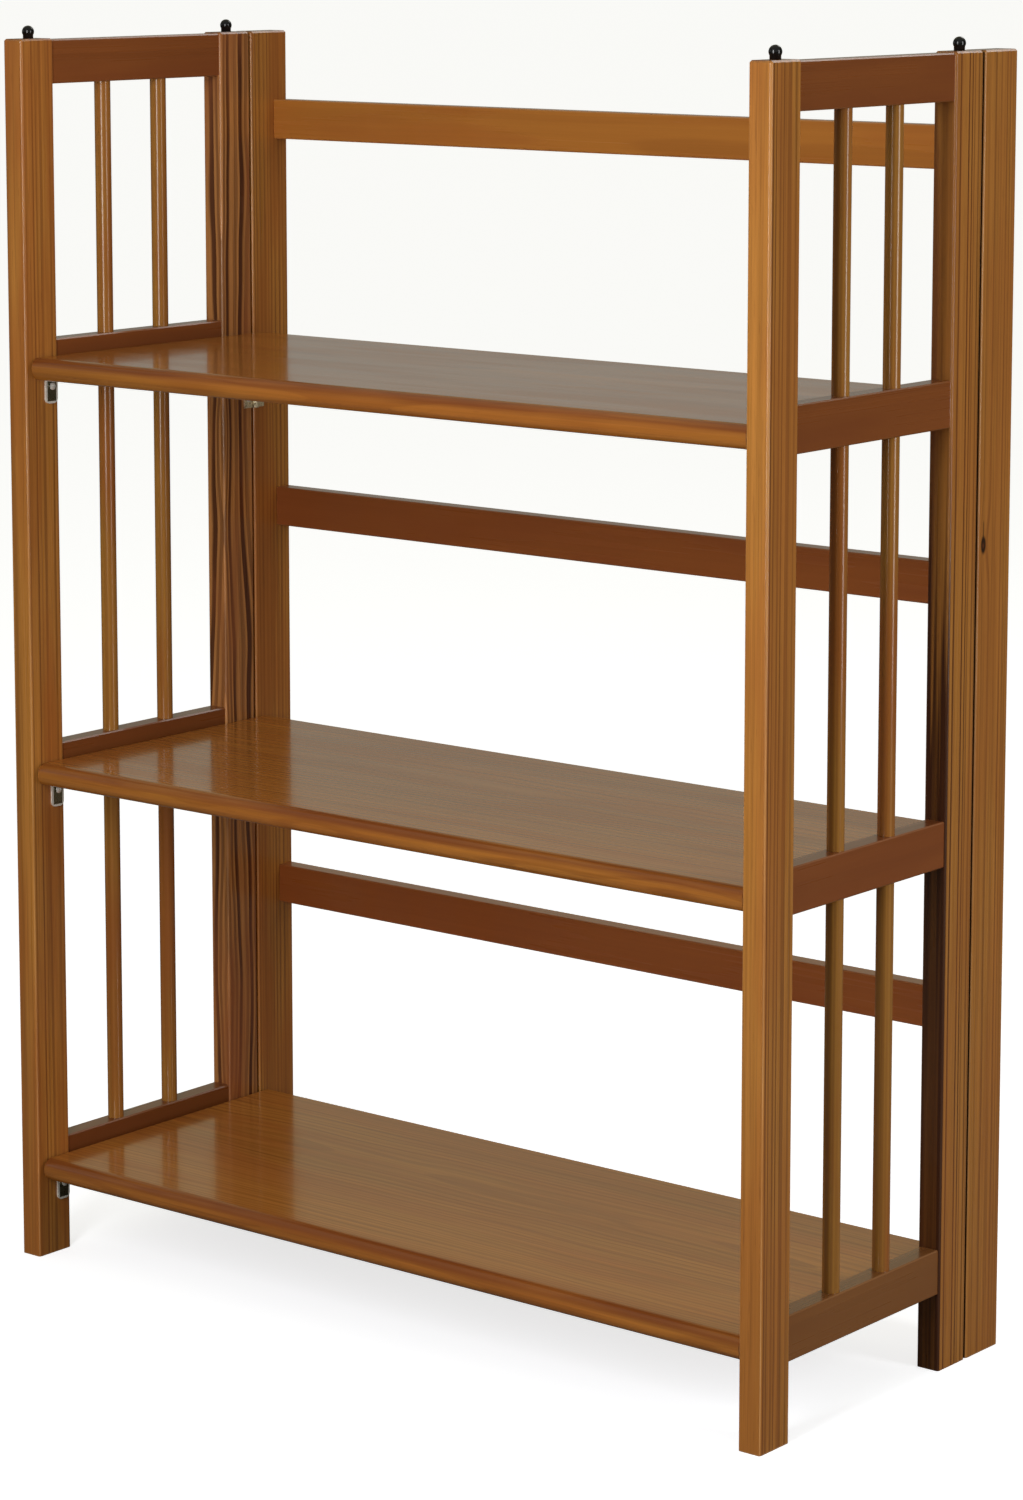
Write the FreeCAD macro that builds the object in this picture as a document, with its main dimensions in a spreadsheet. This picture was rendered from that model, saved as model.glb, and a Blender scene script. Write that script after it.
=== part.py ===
import FreeCAD, Part
import Sketcher
import os
import re

# Folding bookcase: a back frame, two side frames hinged to it, and three shelves that lift.
# Millimetres. +X is to the right seen from the front, +Y goes to the back and +Z goes up.
# The origin is on the floor under the middle of the bookcase.

os.makedirs("parts", exist_ok=True)
doc = FreeCAD.newDocument("FoldingBookcase")

# Driving dimensions

sizes = {
    # frames
    "overall_width": 724,
    "stile_height": 965,
    "stile_thickness": 19,
    "front_stile_depth": 35,
    "rear_stile_depth": 35,
    "side_frame_depth": 259,
    "fold_gap": 2,
    "back_stile_depth": 43,
    "stile_round": 2,
    "stile_top_chamfer": 1.5,
    # rails of the side frames
    "rail_height": 34,
    "rail_thickness": 15.9,
    "rail_chamfer": 1,
    "top_rail_drop": 1,
    "lower_rail_top": 92,
    "top_bay_height": 232,
    # rails of the back frame
    "back_rail_height": 32,
    "back_rail_thickness": 15,
    "back_rail_inset": 1,
    "back_rail_rise": 189.5,
    # mortise and tenon joints
    "tenon_length": 12,
    "tenon_thickness": 8,
    "tenon_shoulder": 5,
    "glue_gap": 0.05,
    "hole_end_gap": 0.5,
    # spindles, let through the two middle rails
    "spindle_diameter": 12.7,
    "spindle_insert": 9,
    # shelves
    "shelf_thickness": 17.5,
    "shelf_set_back": 3.5,
    "shelf_drop": 12.5,
    "shelf_end_gap": 2,
    "shelf_nose_flat": 1,
    "shelf_rear_chamfer": 1,
    "shelf_end_chamfer": 0.8,
    # pivot plates, let into the ends of the shelves
    "pivot_inset": 8,
    "pivot_set_back": 0.5,
    "pivot_plate_length": 34,
    "pivot_plate_height": 11,
    "pivot_plate_thickness": 1.5,
    "pivot_plate_chamfer": 2.5,
    "pivot_stud_diameter": 5,
    "pivot_stud_depth": 11,
    "pivot_clearance": 0.08,
    # angle brackets under the front of each shelf
    "rest_set_back": 20,
    "rest_width": 13,
    "rest_drop": 19.5,
    "rest_reach": 15,
    "rest_thickness": 1.5,
    "rest_corner_round": 4,
    "rest_bend_bevel": 0.8,
    "rest_clearance": 0.1,
    # butt hinges
    "hinge_height": 38,
    "hinge_drop": 6,
    "leaf_width": 11.5,
    "leaf_thickness": 1.4,
    "knuckle_diameter": 5,
    "hinge_pin_diameter": 2.4,
    "hinge_pin_clearance": 0.05,
    "knuckle_gap": 0.2,
    # stacking pins on the stiles, and the sockets in their feet
    "pin_diameter": 9.4,
    "pin_rise": 10,
    "pin_shank_diameter": 8,
    "pin_shank_length": 18,
    "pin_neck_height": 2.4,
    "pin_flare_height": 1.6,
    "pin_tip_diameter": 4.8,
    "pin_tip_height": 3.6,
    "socket_diameter": 10,
    "socket_depth": 12,
}

# Distances that several pieces share, as formulas in the driving dimensions

places = {
    "half_width": "overall_width / 2",
    "stile_line": "half_width - stile_thickness / 2",
    "inner_face": "half_width - stile_thickness",
    "overall_depth": "side_frame_depth + fold_gap + back_stile_depth",
    "front_plane": "-overall_depth / 2",
    "side_frame_back": "front_plane + side_frame_depth",
    "front_stile_line": "front_plane + front_stile_depth / 2",
    "rear_stile_line": "side_frame_back - rear_stile_depth / 2",
    "rail_start": "front_plane + front_stile_depth",
    "rail_span": "side_frame_depth - front_stile_depth - rear_stile_depth",
    "fold_line": "side_frame_back + fold_gap / 2",
    "back_stile_line": "side_frame_back + fold_gap + back_stile_depth / 2",
    "back_rail_line": "overall_depth / 2 - back_rail_inset - back_rail_thickness / 2",
    "top_rail_top": "stile_height - top_rail_drop",
    "upper_rail_top": "top_rail_top - top_bay_height",
    "middle_rail_top": "(lower_rail_top + upper_rail_top) / 2",
    "pivot_line": "side_frame_back + fold_gap + pivot_inset",
    "shelf_end": "inner_face - shelf_end_gap",
    "shelf_depth": "pivot_line - pivot_set_back - front_plane - shelf_set_back",
    "rest_rear": "front_plane + rest_set_back + rest_width",
    "knuckle_radius": "knuckle_diameter / 2",
    "hinge_axis": "inner_face - knuckle_radius",
}

sides = {"left": -1, "right": 1}
tiers = {"top": "upper_rail_top", "middle": "middle_rail_top", "bottom": "lower_rail_top"}
hinged_tiers = ("top", "bottom")


def formula(text):
    """Spell a formula out in cells of the sheet, with each shared distance in brackets."""
    def spelled(match):
        word = match.group()
        if word in places:
            return "(" + formula(places[word]) + ")"
        return "Sizes." + word if word in sizes else word

    return re.sub(r"[a-z]\w*", spelled, str(text))


def make_sheet():
    sheet = doc.addObject("Spreadsheet::Sheet", "Sizes")
    for row, (name, value) in enumerate(sizes.items(), start=1):
        sheet.set(f"A{row}", name)
        sheet.set(f"B{row}", str(value))
        sheet.setAlias(f"B{row}", name)
    doc.recompute()


def value(text):
    return float(doc.Sizes.evalExpression(formula(text)))


# Heights of what goes with a shelf

def shelf_axis(tier):
    return f"{tiers[tier]} - shelf_drop - shelf_thickness / 2"


def rest_top(tier):
    return f"{tiers[tier]} - shelf_drop - shelf_thickness - rest_clearance"


def back_rail_middle(tier):
    return f"{tiers[tier]} - shelf_drop + back_rail_rise - back_rail_height / 2"


def hinge_foot(tier):
    return f"{tiers[tier]} - shelf_drop - shelf_thickness - hinge_drop - hinge_height"


# Modelling steps

nodes = []


def bind(thing, **formulas):
    """Bind properties to formulas; a double underscore in a name stands for a dot."""
    for name, text in formulas.items():
        thing.setExpression(name.replace("__", "."), formula(text))
    return thing


def place(thing, x, y, z):
    return bind(thing, Placement__Base__x=x, Placement__Base__y=y, Placement__Base__z=z)


def node(thing, label):
    thing.Label = label
    nodes.append(thing)
    return thing


def new_body(label, x, y, z):
    body = doc.addObject("PartDesign::Body", "Body")
    return node(place(body, x, y, z), label)


def new_sketch(body, plane, height="0"):
    """A sketch on one of the body's origin planes, moved along that plane's normal."""
    sketch = body.newObject("Sketcher::SketchObject", "Profile")
    support = [item for item in body.Origin.OriginFeatures if item.Role == plane + "_Plane"]
    sketch.AttachmentSupport = [(support[0], "")]
    sketch.MapMode = "FlatFace"
    return bind(sketch, AttachmentOffset__Base__z=height)


def fix_point(sketch, geometry, point, x, y):
    for kind, text in (("DistanceX", x), ("DistanceY", y)):
        number = sketch.addConstraint(Sketcher.Constraint(kind, -1, 1, geometry, point, value(text)))
        sketch.setExpression(f"Constraints[{number}]", formula(text))


def fix_radius(sketch, geometry, radius):
    number = sketch.addConstraint(Sketcher.Constraint("Radius", geometry, value(radius)))
    sketch.setExpression(f"Constraints[{number}]", formula(radius))


def outline(sketch, points):
    """A closed outline of straight lines."""
    corners = [FreeCAD.Vector(value(x), value(y), 0) for x, y in points]
    first = sketch.GeometryCount
    for start, end in zip(corners, corners[1:] + corners[:1]):
        sketch.addGeometry(Part.LineSegment(start, end), False)
    for number, (x, y) in enumerate(points):
        following = first + (number + 1) % len(points)
        sketch.addConstraint(Sketcher.Constraint("Coincident", first + number, 2, following, 1))
        fix_point(sketch, first + number, 1, x, y)


def rectangle(sketch, x, y, width, height):
    """A rectangle about a middle point."""
    left = f"{x} - ({width}) / 2"
    right = f"{x} + ({width}) / 2"
    low = f"{y} - ({height}) / 2"
    high = f"{y} + ({height}) / 2"
    outline(sketch, [(left, low), (right, low), (right, high), (left, high)])


def circle(sketch, x, y, diameter):
    centre = FreeCAD.Vector(value(x), value(y), 0)
    ring = Part.Circle(centre, FreeCAD.Vector(0, 0, 1), value(diameter) / 2)
    number = sketch.addGeometry(ring, False)
    fix_point(sketch, number, 3, x, y)
    fix_radius(sketch, number, f"({diameter}) / 2")


def pad(body, sketch, length, reverse=False):
    feature = body.newObject("PartDesign::Pad", "Pad")
    feature.Profile = sketch
    feature.Reversed = reverse
    return bind(feature, Length=length)


def must_change(body, feature):
    """Recompute, and stop if a cut or a dressed edge has left the body's volume as it was."""
    before = feature.BaseFeature.Shape.Volume
    doc.recompute()
    if near(feature.Shape.Volume, before):
        raise RuntimeError(f"{body.Label}: {feature.Label} changes nothing")
    return feature


def pocket(body, sketch, depth, reverse=False):
    doc.recompute()
    feature = body.newObject("PartDesign::Pocket", "Pocket")
    feature.Profile = sketch
    feature.Reversed = reverse
    bind(feature, Length=depth)
    return must_change(body, feature)


def edge_names(shape, wanted):
    return [f"Edge{n}" for n, edge in enumerate(shape.Edges, start=1) if wanted(edge.BoundBox)]


def round_edges(body, wanted, radius):
    """Round the edges of the body's last feature whose bounding boxes are wanted."""
    doc.recompute()
    base = body.Tip
    feature = body.newObject("PartDesign::Fillet", "Fillet")
    feature.Base = (base, edge_names(base.Shape, wanted))
    return must_change(body, bind(feature, Radius=radius))


def bevel_edges(body, wanted, size):
    """Chamfer the edges of the body's last feature whose bounding boxes are wanted."""
    doc.recompute()
    base = body.Tip
    feature = body.newObject("PartDesign::Chamfer", "Chamfer")
    feature.Base = (base, edge_names(base.Shape, wanted))
    return must_change(body, bind(feature, Size=size))


def near(first, second):
    return abs(first - second) < 1e-6


# Stiles

def stile(label, sign, middle, depth):
    body = new_body(label, f"{sign} * stile_line", middle, "0")
    sketch = new_sketch(body, "XY")
    rectangle(sketch, "0", "0", "stile_thickness", depth)
    pad(body, sketch, "stile_height")
    top = value("stile_height")
    round_edges(body, lambda box: box.ZLength > top / 2, "stile_round")
    bevel_edges(body, lambda box: near(box.ZMin, top), "stile_top_chamfer")
    return body


def inner_sketch(body, sign):
    """A sketch on the face of a stile that looks into the bookcase."""
    return new_sketch(body, "YZ", f"{-sign} * stile_thickness / 2")


def cut_rail_mortises(body, facing, depth):
    """Mortises for the four rails of a side frame, in the edge that faces them along Y."""
    sketch = new_sketch(body, "XZ", f"{-facing} * ({depth}) / 2")
    for top in ("top_rail_top", *tiers.values()):
        rectangle(sketch, "0", f"{top} - rail_height / 2", "tenon_thickness + 2 * glue_gap",
                  "rail_height - 2 * tenon_shoulder + 2 * glue_gap")
    pocket(body, sketch, "tenon_length + hole_end_gap", facing > 0)


def cut_pin_holes(body):
    top = new_sketch(body, "XY", "stile_height")
    circle(top, "0", "0", "pin_shank_diameter + 2 * glue_gap")
    pocket(body, top, "pin_shank_length + hole_end_gap")
    foot = new_sketch(body, "XY")
    circle(foot, "0", "0", "socket_diameter")
    pocket(body, foot, "socket_depth", True)


def front_stile(side, sign):
    body = stile(f"{side}_front_stile", sign, "front_stile_line", "front_stile_depth")
    cut_rail_mortises(body, 1, "front_stile_depth")
    cut_pin_holes(body)


def rear_stile(side, sign):
    body = stile(f"{side}_rear_stile", sign, "rear_stile_line", "rear_stile_depth")
    cut_rail_mortises(body, -1, "rear_stile_depth")
    cut_pin_holes(body)


def back_stile(side, sign):
    body = stile(f"{side}_back_stile", sign, "back_stile_line", "back_stile_depth")
    mortises = inner_sketch(body, sign)
    for tier in tiers:
        rectangle(mortises, "back_rail_line - back_stile_line", back_rail_middle(tier),
                  "tenon_thickness + 2 * glue_gap", "back_rail_height - 2 * tenon_shoulder + 2 * glue_gap")
    pocket(body, mortises, "tenon_length + hole_end_gap", sign > 0)
    pivots = inner_sketch(body, sign)
    for tier in tiers:
        circle(pivots, "pivot_line - back_stile_line", shelf_axis(tier),
               "pivot_stud_diameter + 2 * pivot_clearance")
    pocket(body, pivots, "pivot_stud_depth + hole_end_gap", sign > 0)


# Rails and spindles

def side_rail(label, sign, top):
    """A rail with its tenons; the body's origin is at its rear shoulder, on its top."""
    body = new_body(label, f"{sign} * stile_line", "rail_start + rail_span", top)
    blank = new_sketch(body, "XZ")
    rectangle(blank, "0", "-rail_height / 2", "rail_thickness", "rail_height")
    pad(body, blank, "rail_span")
    bevel_edges(body, lambda box: box.YLength > box.XLength + box.ZLength, "rail_chamfer")
    tenons = new_sketch(body, "XZ", "-tenon_length")
    rectangle(tenons, "0", "-rail_height / 2", "tenon_thickness", "rail_height - 2 * tenon_shoulder")
    pad(body, tenons, "rail_span + 2 * tenon_length")
    return body


def drill_rail(body, height, depth, upward):
    sketch = new_sketch(body, "XY", height)
    for third in (1, 2):
        circle(sketch, "0", f"-rail_span * {third} / 3", "spindle_diameter + 2 * glue_gap")
    pocket(body, sketch, depth, upward)


def side_rails(side, sign):
    drill_rail(side_rail(f"{side}_top_rail", sign, "top_rail_top"), "-rail_height",
               "spindle_insert + hole_end_gap", True)
    for tier in ("top", "middle"):
        name = {"top": "upper", "middle": "lower"}[tier]
        drill_rail(side_rail(f"{side}_{name}_middle_rail", sign, tiers[tier]), "0", "rail_height", False)
    drill_rail(side_rail(f"{side}_bottom_rail", sign, "lower_rail_top"), "0",
               "spindle_insert + hole_end_gap", False)


def spindle(label, sign, third):
    rod = doc.addObject("Part::Cylinder", "Spindle")
    bind(rod, Radius="spindle_diameter / 2",
         Height="top_rail_top - rail_height - lower_rail_top + 2 * spindle_insert")
    place(rod, f"{sign} * stile_line", f"rail_start + rail_span * {third} / 3",
          "lower_rail_top - spindle_insert")
    node(rod, label)


def back_rail(tier):
    body = new_body(f"back_{tier}_rail", "0", "back_rail_line", back_rail_middle(tier))
    blank = new_sketch(body, "YZ", "-inner_face")
    rectangle(blank, "0", "0", "back_rail_thickness", "back_rail_height")
    pad(body, blank, "2 * inner_face")
    bevel_edges(body, lambda box: box.XLength > box.YLength + box.ZLength, "rail_chamfer")
    tenons = new_sketch(body, "YZ", "-(inner_face + tenon_length)")
    rectangle(tenons, "0", "0", "tenon_thickness", "back_rail_height - 2 * tenon_shoulder")
    pad(body, tenons, "2 * (inner_face + tenon_length)")


# Shelves and their pivots

def plate_outline(sketch, gap):
    """The outline of a pivot plate about its pivot, grown by a gap, with its rear corners cut off."""
    front = f"-pivot_plate_length + pivot_plate_height / 2 - {gap}"
    rear = f"pivot_plate_height / 2 + {gap}"
    clip = f"{rear} - pivot_plate_chamfer"
    outline(sketch, [(front, f"-({rear})"), (clip, f"-({rear})"), (rear, f"-({clip})"),
                     (rear, clip), (clip, rear), (front, rear)])


def shelf(tier):
    """A shelf board with a round nose and eased ends; the body's origin is on its pivot."""
    body = new_body(f"{tier}_shelf", "0", "pivot_line", shelf_axis(tier))
    board = new_sketch(body, "XY", "-shelf_thickness / 2")
    rectangle(board, "0", "-pivot_set_back - shelf_depth / 2", "2 * shelf_end", "shelf_depth")
    pad(body, board, "shelf_thickness")
    front = -value("pivot_set_back + shelf_depth")
    rear = -value("pivot_set_back")
    half = value("shelf_end")
    round_edges(body, lambda box: near(box.YMax, front) and box.XLength > half,
                "(shelf_thickness - shelf_nose_flat) / 2")
    bevel_edges(body, lambda box: near(box.YMin, rear) and box.XLength > half, "shelf_rear_chamfer")
    bevel_edges(body, lambda box: near(box.XLength, 0) and near(abs(box.Center.x), half),
                "shelf_end_chamfer")
    for sign in sides.values():
        recess = new_sketch(body, "YZ", f"{sign} * shelf_end")
        plate_outline(recess, "glue_gap")
        pocket(body, recess, "pivot_plate_thickness", sign < 0)


def pivot_plate(tier, side, sign):
    """A flat plate let into a shelf's end, with a stud on the shelf's pivot."""
    body = new_body(f"{tier}_shelf_{side}_pivot", f"{sign} * shelf_end", "pivot_line", shelf_axis(tier))
    plate = new_sketch(body, "YZ")
    plate_outline(plate, "0")
    pad(body, plate, "pivot_plate_thickness", sign > 0)
    stud = new_sketch(body, "YZ")
    circle(stud, "0", "0", "pivot_stud_diameter")
    pad(body, stud, "shelf_end_gap + pivot_stud_depth", sign < 0)


def shelf_rest(tier, side, sign):
    """An angle bracket; the body's origin is at the rear end of its outer corner."""
    body = new_body(f"{tier}_shelf_{side}_rest", f"{sign} * inner_face", "rest_rear", rest_top(tier))
    angle = new_sketch(body, "XZ")
    face = f"{-sign} * rest_thickness"
    tip = f"{-sign} * rest_reach"
    outline(angle, [("0", "0"), ("0", "-rest_drop"), (face, "-rest_drop"),
                    (face, "-rest_thickness"), (tip, "-rest_thickness"), (tip, "0")])
    pad(body, angle, "rest_width")
    low = -value("rest_drop")
    bend = value("rest_thickness")
    round_edges(body, lambda box: near(box.ZMax, low) and box.XLength > box.YLength, "rest_corner_round")
    bevel_edges(body, lambda box: near(abs(box.Center.x), bend) and near(box.ZMin, -bend)
                and near(box.ZMax, -bend), "rest_bend_bevel")
    bevel_edges(body, lambda box: near(box.XMin, 0) and near(box.XMax, 0) and near(box.ZMin, 0),
                "rest_bend_bevel")


# Hinges

def hinge_leaf(label, sign, direction, tier, notches):
    """A leaf with its knuckles; the body's origin is at the foot of the hinge's axis."""
    body = new_body(label, f"{sign} * hinge_axis", "fold_line", hinge_foot(tier))
    plate = new_sketch(body, "XY")
    rectangle(plate, f"{sign} * (knuckle_radius - leaf_thickness / 2)", f"{direction} * leaf_width / 2",
              "leaf_thickness", "leaf_width")
    pad(body, plate, "hinge_height")
    barrel = new_sketch(body, "XY")
    circle(barrel, "0", "0", "knuckle_diameter")
    pad(body, barrel, "hinge_height")
    notch = new_sketch(body, "YZ", "-knuckle_diameter")
    for middle, height in notches:
        rectangle(notch, "0", middle, "knuckle_diameter + 2 * knuckle_gap", height)
    pocket(body, notch, "2 * knuckle_diameter", True)
    return body


def hinge(tier, side, sign):
    """A leaf on the side frame with two knuckles and the pin, and one on the back frame between them."""
    name = f"{side}_{tier}_hinge"
    knuckle = "hinge_height / 3"
    moving = hinge_leaf(f"{name}_side_leaf", sign, -1, tier, [("hinge_height / 2", knuckle)])
    pin = new_sketch(moving, "XY")
    circle(pin, "0", "0", "hinge_pin_diameter")
    pad(moving, pin, "hinge_height")
    end = f"{knuckle} + knuckle_gap"
    fixed = hinge_leaf(f"{name}_back_leaf", sign, 1, tier,
                       [(f"({end}) / 2", end), (f"hinge_height - ({end}) / 2", end)])
    bore = new_sketch(fixed, "XY", "hinge_height")
    circle(bore, "0", "0", "hinge_pin_diameter + 2 * hinge_pin_clearance")
    pocket(fixed, bore, "hinge_height")


# Stacking pins

def stacking_pin(sign, y):
    """A turned pin: a shank, a flare, a straight band and a tapered tip, one on the other."""
    shank = "pin_shank_diameter / 2"
    full = "pin_diameter / 2"
    band = "pin_rise - pin_neck_height - pin_flare_height - pin_tip_height"
    sections = [
        ("-pin_shank_length", shank, shank, "pin_shank_length + pin_neck_height"),
        ("pin_neck_height", shank, full, "pin_flare_height"),
        ("pin_neck_height + pin_flare_height", full, full, band),
        ("pin_rise - pin_tip_height", full, "pin_tip_diameter / 2", "pin_tip_height"),
    ]
    turned = []
    for foot, low, high, height in sections:
        section = bind(doc.addObject("Part::Cone", "Section"), Radius1=low, Radius2=high, Height=height)
        turned.append(place(section, f"{sign} * stile_line", y, f"stile_height + {foot}"))
    pin = doc.addObject("Part::MultiFuse", "Pin")
    pin.Shapes = turned
    pin.Refine = True
    return pin


def stacking_pins():
    lines = ("front_stile_line", "rear_stile_line")
    pins = doc.addObject("Part::Compound", "Pins")
    pins.Links = [stacking_pin(sign, y) for sign in sides.values() for y in lines]
    node(pins, "stacking_pins")


# The whole bookcase

def build():
    make_sheet()
    for side, sign in sides.items():
        front_stile(side, sign)
        rear_stile(side, sign)
        back_stile(side, sign)
        side_rails(side, sign)
        for third, name in ((1, "front"), (2, "rear")):
            spindle(f"{side}_{name}_spindle", sign, third)
        for tier in hinged_tiers:
            hinge(tier, side, sign)
        for tier in tiers:
            shelf_rest(tier, side, sign)
            pivot_plate(tier, side, sign)
    for tier in tiers:
        back_rail(tier)
        shelf(tier)
    stacking_pins()
    doc.recompute()


def check():
    """Stop before anything is written if an object failed or a piece isn't a sound solid."""
    for thing in doc.Objects:
        if "Invalid" in thing.State or "Error" in thing.State:
            raise RuntimeError(f"{thing.Label} failed: {thing.State}")
    for piece in nodes:
        if piece.Shape.isNull() or not piece.Shape.isValid() or not piece.Shape.Solids:
            raise RuntimeError(f"{piece.Label} has no sound shape")


build()
check()
for piece in nodes:
    piece.Shape.exportStep(f"parts/{piece.Label}.step")
print(len(nodes), "nodes,", sum(len(piece.Shape.Solids) for piece in nodes), "solids")
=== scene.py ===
import math

import bmesh
import bpy
from mathutils import Matrix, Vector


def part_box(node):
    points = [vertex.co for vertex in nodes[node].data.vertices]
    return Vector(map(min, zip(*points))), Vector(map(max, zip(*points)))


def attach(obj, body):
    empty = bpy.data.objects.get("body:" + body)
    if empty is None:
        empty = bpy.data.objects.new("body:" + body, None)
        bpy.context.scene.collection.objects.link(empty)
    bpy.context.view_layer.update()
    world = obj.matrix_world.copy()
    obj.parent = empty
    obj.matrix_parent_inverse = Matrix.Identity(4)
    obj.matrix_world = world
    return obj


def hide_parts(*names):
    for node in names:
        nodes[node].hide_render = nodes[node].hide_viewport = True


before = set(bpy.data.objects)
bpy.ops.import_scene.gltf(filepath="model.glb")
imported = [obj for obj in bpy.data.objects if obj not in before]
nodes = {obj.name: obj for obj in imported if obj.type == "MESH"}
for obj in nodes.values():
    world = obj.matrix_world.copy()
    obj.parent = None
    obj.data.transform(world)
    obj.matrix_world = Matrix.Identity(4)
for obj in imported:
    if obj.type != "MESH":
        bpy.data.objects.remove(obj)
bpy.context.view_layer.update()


# small helpers for objects and node trees

def addObject(name, data):
    holder = bpy.data.objects.new(name, data)
    bpy.context.scene.collection.objects.link(holder)
    return holder


def aim(tilt, turn):
    # tilt is in degrees from straight down, turn about the vertical
    return (math.radians(tilt), 0, math.radians(turn))


def feed(tree, socket, value):
    # a socket is linked, anything else becomes the plain value, and a colour is given its alpha
    if isinstance(value, bpy.types.NodeSocket):
        tree.links.new(value, socket)
    elif socket.type == "RGBA":
        socket.default_value = (*value[:3], 1.0)
    else:
        socket.default_value = value


def addNode(tree, kind, inputs=None, **settings):
    # settings are the node's own options, inputs what its sockets are fed by name or number
    node = tree.nodes.new(kind)
    for key, value in settings.items():
        setattr(node, key, value)
    for label, value in (inputs or {}).items():
        feed(tree, node.inputs[label], value)
    return node


def calc(tree, operation, *values, clamp=False):
    inputs = dict(enumerate(values))
    return addNode(tree, "ShaderNodeMath", inputs, operation=operation, use_clamp=clamp).outputs[0]


def times(tree, first, second):
    return calc(tree, "MULTIPLY", first, second)


def plus(tree, first, second):
    return calc(tree, "ADD", first, second)


def minus(tree, first, second):
    return calc(tree, "SUBTRACT", first, second)


def centred(tree, value):
    # a noise runs from 0 to 1, so its middle goes to nought
    return minus(tree, value, 0.5)


def plusShare(tree, total, value, share, clamp=False):
    return calc(tree, "ADD", total, times(tree, value, share), clamp=clamp)


def vectorCalc(tree, operation, *values):
    node = addNode(tree, "ShaderNodeVectorMath", dict(enumerate(values)), operation=operation)
    return node.outputs["Value" if operation in ("LENGTH", "DOT_PRODUCT") else "Vector"]


def scaled(tree, vector, factor):
    node = addNode(tree, "ShaderNodeVectorMath", {0: vector, "Scale": factor}, operation="SCALE")
    return node.outputs["Vector"]


def splitUp(tree, vector):
    return addNode(tree, "ShaderNodeSeparateXYZ", {0: vector}).outputs


def joinUp(tree, **parts):
    return addNode(tree, "ShaderNodeCombineXYZ", parts).outputs[0]


def smoothStep(tree, value, low, high, outLow=0.0, outHigh=1.0):
    inputs = dict(enumerate((value, low, high, outLow, outHigh)))
    return addNode(tree, "ShaderNodeMapRange", inputs, interpolation_type="SMOOTHSTEP").outputs["Result"]


def noise(tree, vector, detail=2.0, roughness=0.5):
    inputs = {"Vector": vector, "Scale": 1.0, "Detail": detail, "Roughness": roughness}
    return addNode(tree, "ShaderNodeTexNoise", inputs, noise_dimensions="3D").outputs


def mixColour(tree, factor, first, second, blend="MIX"):
    # a mix node set to colour takes its colours at 6 and 7 and gives the result at 2
    inputs = {0: factor, 6: first, 7: second}
    return addNode(tree, "ShaderNodeMix", inputs, data_type="RGBA", blend_type=blend).outputs[2]


def openGroup(name, kind, inputs, outputs):
    # named sockets on a group, with the values a new copy starts from
    tree = bpy.data.node_groups.new(name, kind)
    for label, socketKind, start in inputs:
        socket = tree.interface.new_socket(name=label, in_out="INPUT", socket_type="NodeSocket" + socketKind)
        if start is not None:
            socket.default_value = start
    for label, socketKind in outputs:
        tree.interface.new_socket(name=label, in_out="OUTPUT", socket_type="NodeSocket" + socketKind)
    return tree, addNode(tree, "NodeGroupInput").outputs, addNode(tree, "NodeGroupOutput").inputs


nodeSheet = {"rows": 6, "columnWidth": 220, "rowHeight": 190}


def layOut(tree):
    # columns from left to right in the order the nodes were made, so the tree can be read
    for place, node in enumerate(tree.nodes):
        column, row = divmod(place, nodeSheet["rows"])
        node.location = (nodeSheet["columnWidth"] * column, -nodeSheet["rowHeight"] * row)


def startMaterial(name):
    material = bpy.data.materials.new(name)
    material.use_nodes = True
    material.node_tree.nodes.clear()
    return material, material.node_tree


def closeMaterial(tree, pattern, values):
    # the pattern's outputs drive the shader, and its height is in millimetres
    bump = addNode(tree, "ShaderNodeBump", {"Strength": 1.0, "Distance": 0.001, "Height": pattern["Height"]})
    shader = addNode(tree, "ShaderNodeBsdfPrincipled", {
        "Base Color": pattern["Color"],
        "Roughness": pattern["Roughness"],
        "Normal": bump.outputs["Normal"],
        **values,
    })
    addNode(tree, "ShaderNodeOutputMaterial", {"Surface": shader.outputs[0]})
    layOut(tree)


def dress(nodeName, material):
    for slot in nodes[nodeName].material_slots:
        slot.material = material


# camera, light and floor

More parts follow.
